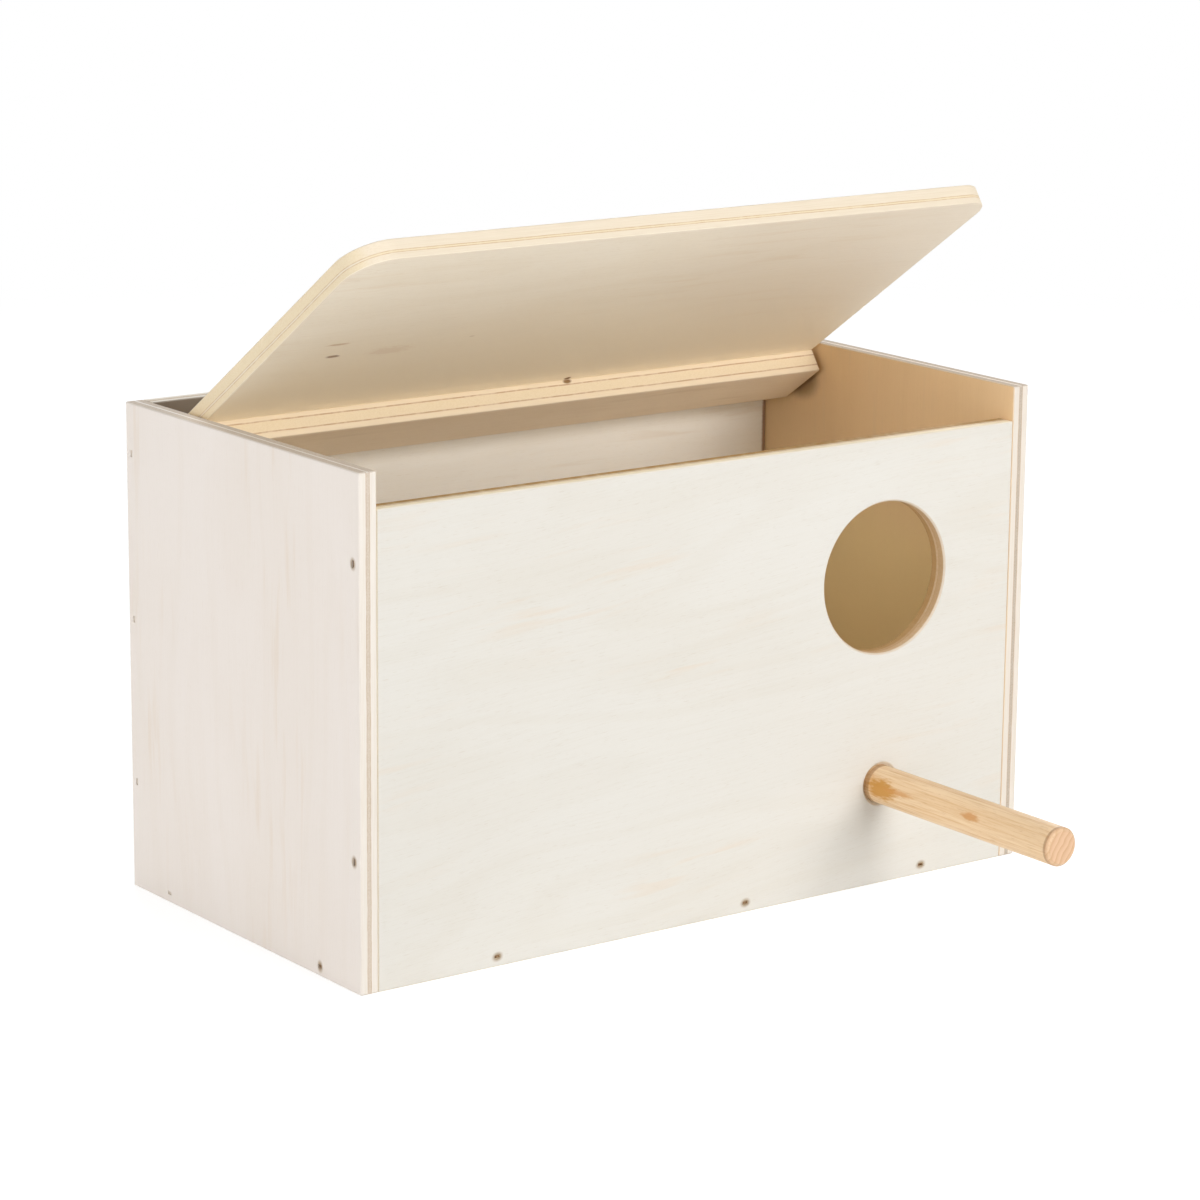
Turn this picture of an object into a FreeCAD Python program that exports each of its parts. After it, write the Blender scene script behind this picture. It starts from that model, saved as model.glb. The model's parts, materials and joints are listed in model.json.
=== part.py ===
import FreeCAD, Part
import os
import re
import Sketcher

# A plywood nest box for small cage birds: two side panels with the front, the back and the
# floor nailed between them, a round entrance with a dowel perch under it, and a lid that
# drops between the side panels and swings on two wire pins in the ends of its batten.
#
# Millimetres and degrees. +Z is up, -Y is the front and +X is to the right as one faces the
# front. The origin is the middle of the box's footprint, on the surface that it stands on.

# ---------------------------------------------------------------- driving sizes

SIZES = [
    # panels
    ("box_width", 250.0, "outside width, over both side panels"),
    ("box_depth", 130.5, "outside depth, over the front and back panels"),
    ("side_height", 153.5, "height of the side and back panels"),
    ("front_drop", 11.0, "front panel's top edge, which the lid rests on, below the side panels' top"),
    ("side_ply", 6.0, "thickness of the side panels"),
    ("front_ply", 6.5, "thickness of the front panel"),
    ("back_ply", 6.0, "thickness of the back panel"),
    ("floor_ply", 6.0, "thickness of the floor"),
    ("edge_easing", 0.3, "bevel sanded on every long edge of the boards"),
    # entrance
    ("entrance_diameter", 48.0, "entrance hole"),
    ("entrance_offset", 68.2, "centre of the entrance, right of the middle"),
    ("entrance_drop", 43.8, "centre of the entrance below the front panel's top edge"),
    ("entrance_easing", 0.5, "bevel on both rims of the entrance"),
    # perch
    ("perch_diameter", 12.0, "dowel"),
    ("perch_offset", 68.3, "dowel's axis, right of the middle"),
    ("perch_height", 32.5, "dowel's axis above the base"),
    ("perch_reach", 84.0, "dowel's length in front of the front panel"),
    ("perch_tip_easing", 1.0, "bevel on the dowel's free end"),
    ("perch_hole_bevel", 1.1, "bevel round the mouth of the dowel's hole"),
    # lid
    ("lid_ply", 6.5, "thickness of the lid board"),
    ("lid_side_gap", 2.1, "gap between each end of the lid and its side panel"),
    ("lid_overhang", 12.8, "how far the closed lid stands out over the front panel"),
    ("lid_tail", 8.0, "lid board behind the hinge line"),
    ("lid_left_radius", 13.0, "round on the lid's left front corner"),
    ("lid_right_radius", 8.0, "round on the lid's right front corner"),
    ("lid_rest_gap", 0.2, "between the closed lid and the front panel's top edge"),
    ("lid_open_angle", 34.3, "how far the lid stands open at rest"),
    ("batten_width", 21.0, "batten along the lid's rear edge"),
    ("batten_thick", 7.6, "thickness of the batten"),
    ("batten_tail", 4.5, "batten behind the hinge line"),
    # hinge pins
    ("hinge_inset", 21.3, "hinge line in front of the back panel's outer face"),
    ("hinge_pin_diameter", 2.0, "wire pin that the lid turns on"),
    ("hinge_pin_grip", 14.0, "length of a hinge pin inside the batten"),
    ("hinge_pin_bevel", 0.3, "bevel on both ends of a hinge pin"),
    ("hinge_bore_depth", 4.0, "depth of a hinge pin's blind bore in a side panel"),
    ("hinge_running_gap", 0.08, "round a hinge pin in its bore, on the radius"),
    ("hinge_end_gap", 0.3, "past the end of a hinge pin in its bore"),
    # brads
    ("brad_wide", 1.25, "longer side of a brad's shank"),
    ("brad_thin", 1.0, "shorter side of a brad's shank"),
    ("brad_head_wide", 2.0, "longer side of a brad's head"),
    ("brad_head_thick", 0.6, "thickness of a brad's head"),
    ("brad_sink", 0.4, "how deep the heads are driven under the surface"),
    ("brad_length", 18.0, "length of the brads that hold the panels"),
    ("lid_brad_length", 10.0, "length of the brads that hold the batten"),
    ("front_end_brad_low", 39.4, "lower brad into the front panel's end, above the base"),
    ("back_end_brad_low", 34.2, "lowest brad into the back panel's end, above the base"),
    ("end_brad_drop", 15.6, "highest brad, below the top of the panel that it enters"),
    ("floor_brad_inset", 22.0, "brad into the floor, from the side panel's front and back edges"),
    ("front_brad_left", 77.3, "front panel's left brad, left of the middle"),
    ("front_brad_middle", 15.3, "front panel's middle brad, right of the middle"),
    ("front_brad_right", 85.8, "front panel's right brad, right of the middle"),
    ("back_brad_spread", 80.0, "back panel's outer brads, from the middle"),
    ("lid_brad_spread", 92.0, "lid's outer brads, from the middle"),
]

# ---------------------------------------------------------------- worked-out sizes

INNER_WIDTH = "(box_width - 2 * side_ply)"
FRONT_HEIGHT = "(side_height - front_drop)"
FRONT_FACE = "(-box_depth / 2)"
BACK_FACE = "(box_depth / 2)"
FRONT_INSIDE = "(-box_depth / 2 + front_ply)"
BACK_INSIDE = "(box_depth / 2 - back_ply)"
FLOOR_MIDDLE = "(floor_ply / 2)"
LID_WIDTH = "(box_width - 2 * side_ply - 2 * lid_side_gap)"
LID_FRONT = "(box_depth - hinge_inset + lid_overhang)"
BATTEN_FRONT = "(batten_width - batten_tail)"
BATTEN_MIDDLE = "(batten_tail - batten_width / 2)"
HINGE_Y = "(box_depth / 2 - hinge_inset)"
HINGE_Z = f"({FRONT_HEIGHT} + lid_rest_gap - batten_thick / 2)"
BRAD_BITE = "(brad_length + brad_sink - side_ply)"

# Each origin plane of a body: which way a sketch's own normal points there.
NORMALS = {"XY_Plane": "+Z", "XZ_Plane": "-Y", "YZ_Plane": "+X"}

doc = FreeCAD.newDocument("nest_box")
sheet = doc.addObject("Spreadsheet::Sheet", "Sizes")
size_names = {name for name, _, _ in SIZES}
parts = []


def fill_sheet():
    """Write every driving size, its name and its meaning into the sheet."""
    for row, (name, value, meaning) in enumerate(SIZES, start=1):
        sheet.set(f"A{row}", name)
        sheet.set(f"B{row}", str(value))
        sheet.setAlias(f"B{row}", name)
        sheet.set(f"C{row}", meaning)
    doc.recompute()


def sized(formula):
    """Point each size's name in a formula at its cell in the sheet."""
    def cell(word):
        return "Sizes." + word.group() if word.group() in size_names else word.group()
    return re.sub(r"[a-z][a-z_]*", cell, formula)


# ---------------------------------------------------------------- building blocks


def new_body(label, x="0", y="0", z="0"):
    """Start a piece whose own origin lies at x, y, z."""
    body = doc.addObject("PartDesign::Body", label)
    body.Label = label
    for axis, formula in zip("xyz", (x, y, z)):
        body.setExpression(".Placement.Base." + axis, sized(formula))
    parts.append(body)
    return body


def new_sketch(body, role, offset="0"):
    """Start a sketch on one of the body's origin planes, offset along the plane's normal."""
    sketch = body.newObject("Sketcher::SketchObject", body.Label + "_sketch")
    plane = [item for item in body.Origin.OriginFeatures if item.Role == role][0]
    sketch.AttachmentSupport = [(plane, "")]
    sketch.MapMode = "FlatFace"
    sketch.setExpression(".AttachmentOffset.Base.z", sized(offset))
    return sketch


def bind(sketch, kind, formula, *where):
    """Add a dimension to a sketch and tie it to the sheet."""
    index = sketch.addConstraint(Sketcher.Constraint(kind, *where, 1.0))
    sketch.setExpression(f"Constraints[{index}]", sized(formula))


def add_rectangle(sketch, left, low, wide, tall):
    """Draw a rectangle from its lower left corner, its width and its height."""
    corners = [FreeCAD.Vector(*point) for point in ((0, 0), (1, 0), (1, 1), (0, 1))]
    first = sketch.GeometryCount
    for step in range(4):
        sketch.addGeometry(Part.LineSegment(corners[step], corners[(step + 1) % 4]), False)
    for step in range(4):
        sketch.addConstraint(
            Sketcher.Constraint("Coincident", first + step, 2, first + (step + 1) % 4, 1))
        direction = "Vertical" if step % 2 else "Horizontal"
        sketch.addConstraint(Sketcher.Constraint(direction, first + step))
    bind(sketch, "DistanceX", left, -1, 1, first, 1)
    bind(sketch, "DistanceY", low, -1, 1, first, 1)
    bind(sketch, "DistanceX", wide, first, 1, first, 2)
    bind(sketch, "DistanceY", tall, first + 1, 1, first + 1, 2)


def add_circle(sketch, across, up, diameter):
    """Draw a circle from its centre and its diameter."""
    circle = Part.Circle(FreeCAD.Vector(0, 0, 0), FreeCAD.Vector(0, 0, 1), 1.0)
    index = sketch.addGeometry(circle, False)
    bind(sketch, "DistanceX", across, -1, 1, index, 3)
    bind(sketch, "DistanceY", up, -1, 1, index, 3)
    bind(sketch, "Diameter", diameter, index)


def pad(body, sketch, role, length, direction):
    """Grow a sketch into solid stock."""
    feature = body.newObject("PartDesign::Pad", body.Label + "_pad")
    feature.Profile = sketch
    feature.Reversed = direction != NORMALS[role]
    feature.setExpression("Length", sized(length))
    doc.recompute()
    return feature


def pocket(body, sketch, role, depth, direction):
    """Cut a sketch into the piece, and make sure that wood came away."""
    before = body.Shape.Volume
    feature = body.newObject("PartDesign::Pocket", body.Label + "_pocket")
    feature.Profile = sketch
    feature.Reversed = direction == NORMALS[role]
    feature.setExpression("Length", sized(depth))
    doc.recompute()
    if not body.Shape.Volume < before - 1e-6:
        raise RuntimeError(f"a pocket in {body.Label} cuts nothing")
    return feature


def edges_where(feature, chosen):
    """Name the edges of a feature that a test chooses by their middle point and length."""
    names = []
    for number, edge in enumerate(feature.Shape.Edges, start=1):
        middle = edge.valueAt((edge.FirstParameter + edge.LastParameter) / 2)
        if chosen(edge, middle):
            names.append(f"Edge{number}")
    return names


def bevel(body, base, edges, size):
    """Bevel some edges of a feature."""
    feature = body.newObject("PartDesign::Chamfer", body.Label + "_bevel")
    feature.Base = (base, edges)
    feature.setExpression("Size", sized(size))
    doc.recompute()
    return feature


def ease(body, board):
    """Break every edge of a board, as sanding does."""
    return bevel(body, board, edges_where(board, lambda edge, middle: True), "edge_easing")


def is_round(edge, radius):
    """Tell whether an edge is a circle of this radius."""
    return isinstance(edge.Curve, Part.Circle) and abs(edge.Curve.Radius - radius) < 1e-6


# ---------------------------------------------------------------- brads
#
# A brad is a flat wire nail with a T-shaped head. A place for one is (across, up, along):
# where its axis crosses the sketch plane, and whether its wide side lies across or up.


def add_brad_outlines(sketch, places, wide):
    """Draw one brad's section at each place."""
    for across, up, along in places:
        size_across, size_up = (wide, "brad_thin") if along == "across" else ("brad_thin", wide)
        left = f"{across} - {size_across} / 2"
        low = f"{up} - {size_up} / 2"
        add_rectangle(sketch, left, low, size_across, size_up)


def brads(label, role, surface, direction, places, length, x="0", y="0", z="0"):
    """Make a group of like brads, driven into a surface in one direction."""
    body = new_body(label, x, y, z)
    body.AllowCompound = True
    inward = 1 if direction == NORMALS[role] else -1
    head = new_sketch(body, role, f"{surface} + {inward} * brad_sink")
    add_brad_outlines(head, places, "brad_head_wide")
    pad(body, head, role, "brad_head_thick", direction)
    shank = new_sketch(body, role, f"{surface} + {inward} * (brad_sink + brad_head_thick)")
    add_brad_outlines(shank, places, "brad_wide")
    pad(body, shank, role, f"{length} - brad_head_thick", direction)
    return body


def cut_for_heads(body, role, direction, places, thickness):
    """Cut the holes that driven brads leave in the panel under their heads."""
    head = new_sketch(body, role)
    add_brad_outlines(head, places, "brad_head_wide")
    pocket(body, head, role, "brad_sink + brad_head_thick", direction)
    shank = new_sketch(body, role)
    add_brad_outlines(shank, places, "brad_wide")
    pocket(body, shank, role, thickness, direction)


def cut_for_shanks(body, role, surface, direction, places, depth):
    """Cut the holes that brads leave in the piece that they hold."""
    shank = new_sketch(body, role, surface)
    add_brad_outlines(shank, places, "brad_wide")
    pocket(body, shank, role, depth, direction)


def side_into_front(y):
    """Places of a side panel's brads into the front panel's end."""
    heights = ("front_end_brad_low", f"({FRONT_HEIGHT} - end_brad_drop)")
    return [(y, height, "up") for height in heights]


def side_into_back(y):
    """Places of a side panel's brads into the back panel's end."""
    heights = ("back_end_brad_low", "((back_end_brad_low + side_height - end_brad_drop) / 2)",
               "(side_height - end_brad_drop)")
    return [(y, height, "up") for height in heights]


SIDE_INTO_FLOOR = [(f"({FRONT_FACE} + floor_brad_inset)", FLOOR_MIDDLE, "across"),
                   (f"({BACK_FACE} - floor_brad_inset)", FLOOR_MIDDLE, "across")]
SIDE_PLACES = (side_into_front(f"({FRONT_FACE} + front_ply / 2)")
               + side_into_back(f"({BACK_FACE} - back_ply / 2)") + SIDE_INTO_FLOOR)
FRONT_PLACES = [("(-front_brad_left)", FLOOR_MIDDLE, "across"),
                ("front_brad_middle", FLOOR_MIDDLE, "across"),
                ("front_brad_right", FLOOR_MIDDLE, "across")]
BACK_PLACES = [("(-back_brad_spread)", FLOOR_MIDDLE, "across"),
               ("0", FLOOR_MIDDLE, "across"),
               ("back_brad_spread", FLOOR_MIDDLE, "across")]
LID_PLACES = [(f"({share} * lid_brad_spread / 3)", BATTEN_MIDDLE, "across")
              for share in (-3, -1, 1, 3)]

# ---------------------------------------------------------------- the box


def side_panel(label, side, inward, outward):
    """One side panel, full depth and full height, with its nail holes and hinge bore."""
    body = new_body(label, x=f"{side} * box_width / 2")
    outline = new_sketch(body, "YZ_Plane")
    add_rectangle(outline, FRONT_FACE, "0", "box_depth", "side_height")
    ease(body, pad(body, outline, "YZ_Plane", "side_ply", inward))
    cut_for_heads(body, "YZ_Plane", inward, SIDE_PLACES, "side_ply")
    bore = new_sketch(body, "YZ_Plane", f"{-side} * side_ply")
    add_circle(bore, HINGE_Y, HINGE_Z, "hinge_pin_diameter + 2 * hinge_running_gap")
    pocket(body, bore, "YZ_Plane", "hinge_bore_depth", outward)


def front_panel():
    """The front panel, between the side panels, with the entrance and the perch's hole."""
    body = new_body("front_panel", y=FRONT_FACE)
    outline = new_sketch(body, "XZ_Plane")
    add_rectangle(outline, f"-{INNER_WIDTH} / 2", "0", INNER_WIDTH, FRONT_HEIGHT)
    ease(body, pad(body, outline, "XZ_Plane", "front_ply", "+Y"))
    cut_for_heads(body, "XZ_Plane", "+Y", FRONT_PLACES, "front_ply")
    for end, inward in ((-1, "+X"), (1, "-X")):
        cut_for_shanks(body, "YZ_Plane", f"{end} * {INNER_WIDTH} / 2", inward,
                       side_into_front("(front_ply / 2)"), BRAD_BITE)
    entrance = new_sketch(body, "XZ_Plane")
    add_circle(entrance, "entrance_offset", f"{FRONT_HEIGHT} - entrance_drop", "entrance_diameter")
    pocket(body, entrance, "XZ_Plane", "front_ply", "+Y")
    perch_hole = new_sketch(body, "XZ_Plane")
    add_circle(perch_hole, "perch_offset", "perch_height", "perch_diameter")
    drilled = pocket(body, perch_hole, "XZ_Plane", "front_ply", "+Y")
    perch_radius = sheet.perch_diameter / 2
    mouth = edges_where(drilled, lambda edge, middle: is_round(edge, perch_radius)
                        and abs(middle.y) < 1e-6)
    countersunk = bevel(body, drilled, mouth, "perch_hole_bevel")
    entrance_radius = sheet.entrance_diameter / 2
    rims = edges_where(countersunk, lambda edge, middle: is_round(edge, entrance_radius))
    bevel(body, countersunk, rims, "entrance_easing")


def back_panel():
    """The back panel, between the side panels and as high as they are."""
    body = new_body("back_panel", y=BACK_FACE)
    outline = new_sketch(body, "XZ_Plane")
    add_rectangle(outline, f"-{INNER_WIDTH} / 2", "0", INNER_WIDTH, "side_height")
    ease(body, pad(body, outline, "XZ_Plane", "back_ply", "-Y"))
    cut_for_heads(body, "XZ_Plane", "-Y", BACK_PLACES, "back_ply")
    for end, inward in ((-1, "+X"), (1, "-X")):
        cut_for_shanks(body, "YZ_Plane", f"{end} * {INNER_WIDTH} / 2", inward,
                       side_into_back("(-back_ply / 2)"), BRAD_BITE)


def floor_panel():
    """The floor, inside all four walls and flush with their lower edges."""
    body = new_body("floor_panel")
    outline = new_sketch(body, "XY_Plane")
    add_rectangle(outline, f"-{INNER_WIDTH} / 2", FRONT_INSIDE,
                  INNER_WIDTH, "box_depth - front_ply - back_ply")
    ease(body, pad(body, outline, "XY_Plane", "floor_ply", "+Z"))
    for end, inward in ((-1, "+X"), (1, "-X")):
        cut_for_shanks(body, "YZ_Plane", f"{end} * {INNER_WIDTH} / 2", inward,
                       SIDE_INTO_FLOOR, BRAD_BITE)
    cut_for_shanks(body, "XZ_Plane", f"-{FRONT_INSIDE}", "+Y", FRONT_PLACES,
                   "brad_length + brad_sink - front_ply")
    cut_for_shanks(body, "XZ_Plane", f"-{BACK_INSIDE}", "-Y", BACK_PLACES,
                   "brad_length + brad_sink - back_ply")


def perch_dowel():
    """The perch: a dowel glued into its hole, with its free end bevelled."""
    body = new_body("perch_dowel", "perch_offset", FRONT_INSIDE, "perch_height")
    section = new_sketch(body, "XZ_Plane")
    add_circle(section, "0", "0", "perch_diameter")
    rod = pad(body, section, "XZ_Plane", "perch_reach + front_ply", "-Y")
    tip = edges_where(rod, lambda edge, middle: isinstance(edge.Curve, Part.Circle)
                      and middle.y < -1.0)
    bevel(body, rod, tip, "perch_tip_easing")


# ---------------------------------------------------------------- the lid
#
# The lid's pieces are drawn closed, with the hinge line as their own X axis. Their placement
# turns them open about that line.


def new_lid_body(label):
    """Start a piece that swings with the lid."""
    body = new_body(label, y=HINGE_Y, z=HINGE_Z)
    hang_on_hinge(body)
    return body


def hang_on_hinge(body):
    """Turn a piece about the hinge line to the lid's resting angle."""
    body.Placement.Rotation = FreeCAD.Rotation(FreeCAD.Vector(-1, 0, 0), sheet.lid_open_angle)
    body.setExpression(".Placement.Rotation.Angle", sized("lid_open_angle"))


def lid_board():
    """The lid board, with its two front corners rounded."""
    body = new_lid_body("lid_board")
    outline = new_sketch(body, "XY_Plane", "batten_thick / 2")
    add_rectangle(outline, f"-{LID_WIDTH} / 2", f"-{LID_FRONT}",
                  LID_WIDTH, f"{LID_FRONT} + lid_tail")
    board = pad(body, outline, "XY_Plane", "lid_ply", "+Z")
    for side, radius in ((-1, "lid_left_radius"), (1, "lid_right_radius")):
        board = round_front_corner(body, board, side, radius)
    ease(body, board)
    top = "batten_thick / 2 + lid_ply"
    heads = new_sketch(body, "XY_Plane", top)
    add_brad_outlines(heads, LID_PLACES, "brad_head_wide")
    pocket(body, heads, "XY_Plane", "brad_sink + brad_head_thick", "-Z")
    cut_for_shanks(body, "XY_Plane", top, "-Z", LID_PLACES, "lid_ply")


def round_front_corner(body, board, side, radius):
    """Round one front corner of the lid board."""
    corner = edges_where(board, lambda edge, middle: abs(edge.tangentAt(0).z) > 0.9
                         and middle.y < 0 and middle.x * side > 0)
    feature = body.newObject("PartDesign::Fillet", "lid_board_corner")
    feature.Base = (board, corner)
    feature.setExpression("Radius", sized(radius))
    doc.recompute()
    return feature


def lid_batten():
    """The batten under the lid's rear edge, whose ends the hinge pins enter."""
    body = new_lid_body("lid_batten")
    outline = new_sketch(body, "XY_Plane", "-batten_thick / 2")
    add_rectangle(outline, f"-{LID_WIDTH} / 2", f"-{BATTEN_FRONT}", LID_WIDTH, "batten_width")
    ease(body, pad(body, outline, "XY_Plane", "batten_thick", "+Z"))
    cut_for_shanks(body, "XY_Plane", "batten_thick / 2", "-Z", LID_PLACES,
                   "lid_brad_length + brad_sink - lid_ply")
    for end, inward in ((-1, "+X"), (1, "-X")):
        bore = new_sketch(body, "YZ_Plane", f"{end} * {LID_WIDTH} / 2")
        add_circle(bore, "0", "0", "hinge_pin_diameter")
        pocket(body, bore, "YZ_Plane", "hinge_pin_grip", inward)


def hinge_pin(label, side, outward):
    """A wire pin: held fast in the batten's end, free to turn in the side panel's bore."""
    body = new_lid_body(label)
    section = new_sketch(body, "YZ_Plane", f"{side} * ({LID_WIDTH} / 2 - hinge_pin_grip)")
    add_circle(section, "0", "0", "hinge_pin_diameter")
    length = "hinge_pin_grip + lid_side_gap + hinge_bore_depth - hinge_end_gap"
    wire = pad(body, section, "YZ_Plane", length, outward)
    ends = edges_where(wire, lambda edge, middle: isinstance(edge.Curve, Part.Circle))
    bevel(body, wire, ends, "hinge_pin_bevel")


# ---------------------------------------------------------------- assembly


def build():
    """Make every piece of the nest box."""
    fill_sheet()
    side_panel("left_side_panel", -1, "+X", "-X")
    side_panel("right_side_panel", 1, "-X", "+X")
    front_panel()
    back_panel()
    floor_panel()
    perch_dowel()
    lid_board()
    lid_batten()
    hinge_pin("left_hinge_pin", -1, "-X")
    hinge_pin("right_hinge_pin", 1, "+X")
    brads("left_side_brads", "YZ_Plane", "0", "+X", SIDE_PLACES, "brad_length",
          x="-box_width / 2")
    brads("right_side_brads", "YZ_Plane", "0", "-X", SIDE_PLACES, "brad_length",
          x="box_width / 2")
    brads("front_brads", "XZ_Plane", "0", "+Y", FRONT_PLACES, "brad_length", y=FRONT_FACE)
    brads("back_brads", "XZ_Plane", "0", "-Y", BACK_PLACES, "brad_length", y=BACK_FACE)
    lid_top = "batten_thick / 2 + lid_ply"
    lid_set = brads("lid_brads", "XY_Plane", lid_top, "-Z", LID_PLACES, "lid_brad_length",
                    y=HINGE_Y, z=HINGE_Z)
    hang_on_hinge(lid_set)


def check():
    """Stop on a failed object or an empty or faulty piece."""
    doc.recompute()
    for item in doc.Objects:
        if "Invalid" in item.State or "Error" in item.State:
            raise RuntimeError(f"{item.Label} failed: {item.State}")
    for body in parts:
        if body.Shape.isNull() or not body.Shape.isValid():
            raise RuntimeError(f"{body.Label} has no sound shape")


def write():
    """Write one file for each piece."""
    os.makedirs("parts", exist_ok=True)
    for body in parts:
        body.Shape.exportStep(os.path.join("parts", body.Label + ".step"))
        print(f"{body.Label}: {len(body.Shape.Solids)} solid(s), {body.Shape.Volume:.1f} mm3")


build()
check()
write()
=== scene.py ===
# %% [markdown]
# # Finishing a plywood nest box
# The nest box is already built to size: every panel, brad, hinge pin and the perch is there as
# a measured solid. This lesson gives those solids the look of real wood and wire. The measured
# model is loaded as a fixed frame, because a board that is nudged here would no longer meet its
# neighbours. Everything that follows only reads sizes from that frame and adds finishes to it.

# %% Load the measured box
import json
import math
from collections import namedtuple
import bmesh
import bpy
from mathutils import Matrix, Vector


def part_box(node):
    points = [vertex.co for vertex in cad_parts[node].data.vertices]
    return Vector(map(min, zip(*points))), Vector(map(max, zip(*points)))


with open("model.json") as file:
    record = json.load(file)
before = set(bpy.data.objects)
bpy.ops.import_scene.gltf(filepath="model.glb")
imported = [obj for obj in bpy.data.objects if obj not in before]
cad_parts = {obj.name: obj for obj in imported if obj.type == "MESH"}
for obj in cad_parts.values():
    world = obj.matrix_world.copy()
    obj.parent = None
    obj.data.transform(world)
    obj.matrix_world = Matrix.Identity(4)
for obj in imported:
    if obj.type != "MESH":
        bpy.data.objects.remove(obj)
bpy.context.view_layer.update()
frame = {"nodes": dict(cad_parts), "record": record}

# %% [markdown]
# ## Where the viewer stands
# A camera could be placed by hand, but then nothing says why it stands there. Here it is
# described as a person would: aim at a point close to the middle of the box, stand off to its
# front left, a little above it, and use a long lens so that the box's sides stay nearly parallel.
# The tiny roll is the tilt of a hand-held camera.

# %% Place the camera
AIM_BESIDE_MIDDLE = Vector((0.0054, -0.0018, 0.0))
AIM_HEIGHT = 0.0874
CAMERA_DISTANCE = 1.281
CAMERA_TURN = math.radians(36.23)
CAMERA_RISE = math.radians(13.33)
CAMERA_ROLL = math.radians(0.52)
LENS_LENGTH = 122.7

left_low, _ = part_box("left_side_panel")
_, right_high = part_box("right_side_panel")
footprint_middle = Vector(((left_low.x + right_high.x) / 2, (left_low.y + right_high.y) / 2, 0.0))


def place_camera():
    """Stand the camera off the aim point, look at it, then roll the frame slightly."""
    aim = footprint_middle + AIM_BESIDE_MIDDLE + Vector((0.0, 0.0, AIM_HEIGHT))
    level = math.cos(CAMERA_RISE)
    away = Vector((-math.sin(CAMERA_TURN) * level, -math.cos(CAMERA_TURN) * level,
                   math.sin(CAMERA_RISE)))
    lens = bpy.data.cameras.new("viewer")
    lens.lens = LENS_LENGTH
    camera = bpy.data.objects.new("viewer", lens)
    camera.location = aim + away * CAMERA_DISTANCE
    look = (-away).to_track_quat("-Z", "Y").to_matrix().to_4x4()
    roll = Matrix.Rotation(CAMERA_ROLL, 4, "Z")
    camera.rotation_mode = "QUATERNION"
    camera.rotation_quaternion = (look @ roll).to_quaternion()
    bpy.context.scene.collection.objects.link(camera)
    bpy.context.scene.camera = camera
    return camera


viewer = place_camera()
print("camera stands at", [round(part, 3) for part in viewer.location])

# %% [markdown]
# ## A short vocabulary for shader nodes
# Every finish below is drawn by shader nodes, so that it has no seams and stays sharp close up.
# Adding nodes by hand takes many lines, so a few small helpers name the steps that come back
# again and again: add a node, do a sum, blend two colours, cut a soft threshold.

# %% Node helpers
SOCKETS = {"value": "NodeSocketFloat", "vector": "NodeSocketVector", "colour": "NodeSocketColor"}


def tone(red, green, blue):
    """Turn a swatch colour, 0 to 255 as a screen shows it, into the linear one that shaders use."""
    linear = []
    for part in (red, green, blue):
        share = part / 255
        linear.append(share / 12.92 if share <= 0.04045 else ((share + 0.055) / 1.055) ** 2.4)
    return (*linear, 1.0)


def add(tree, kind, inputs=None, **options):
    """Add a shader node. Each input, by name or number, gets a value or a link."""
    made = tree.nodes.new("ShaderNode" + kind)
    for option, choice in options.items():
        setattr(made, option, choice)
    for key, source in (inputs or {}).items():
        if isinstance(source, bpy.types.NodeSocket):
            tree.links.new(source, made.inputs[key])
        else:
            made.inputs[key].default_value = source
    return made


def calc(tree, operation, *numbers):
    """Do one sum on values."""
    return add(tree, "Math", dict(enumerate(numbers)), operation=operation).outputs[0]


def vector_calc(tree, operation, *vectors):
    """Do one sum on vectors, and give back the vector."""
    return add(tree, "VectorMath", dict(enumerate(vectors)), operation=operation).outputs[0]


def dot(tree, first, second):
    """How far one vector reaches along another."""
    made = add(tree, "VectorMath", {0: first, 1: second}, operation="DOT_PRODUCT")
    return made.outputs["Value"]


def soft_step(tree, value, low, high):
    """Rise smoothly from 0 at low to 1 at high."""
    inputs = {"Value": value, "From Min": low, "From Max": high}
    return add(tree, "MapRange", inputs, interpolation_type="SMOOTHSTEP").outputs[0]


def blend(tree, factor, first, second, way="MIX"):
    """Blend two colours."""
    inputs = {0: factor, 6: first, 7: second}
    return add(tree, "Mix", inputs, data_type="RGBA", blend_type=way).outputs[2]


def tint(tree, colour, factors):
    """Multiply a colour by three factors, for a paler or darker shade of the same wood."""
    return blend(tree, 1.0, colour, (*factors, 1.0), "MULTIPLY")


def blend_values(tree, factor, first, second):
    """Blend two values."""
    return add(tree, "Mix", {0: factor, 2: first, 3: second}, data_type="FLOAT").outputs[0]


def grains(tree, place, sizes, seed, detail=2.0, roughness=0.5):
    """Noise whose blobs measure sizes, in millimetres, along the three axes of place."""
    shrunk = vector_calc(tree, "MULTIPLY", place, tuple(1 / size for size in sizes))
    offset = add(tree, "CombineXYZ", {0: seed, 1: seed, 2: seed}).outputs[0]
    moved = vector_calc(tree, "ADD", shrunk, offset)
    inputs = {"Vector": moved, "Scale": 1.0, "Detail": detail, "Roughness": roughness}
    return add(tree, "TexNoise", inputs).outputs[0]


def new_group(name, takes, gives):
    """Start a node group from lists of (socket name, kind) and give back its two ends."""
    group = bpy.data.node_groups.new(name, "ShaderNodeTree")
    for label, kind in takes:
        group.interface.new_socket(label, in_out="INPUT", socket_type=SOCKETS[kind])
    for label, kind in gives:
        group.interface.new_socket(label, in_out="OUTPUT", socket_type=SOCKETS[kind])
    given = group.nodes.new("NodeGroupInput").outputs
    result = group.nodes.new("NodeGroupOutput").inputs
    return group, given, result


def give(tree, result, **sources):
    """Link a group's results, by socket name with _ for a space."""
    for label, source in sources.items():
        tree.links.new(source, result[label.replace("_", " ")])


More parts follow.
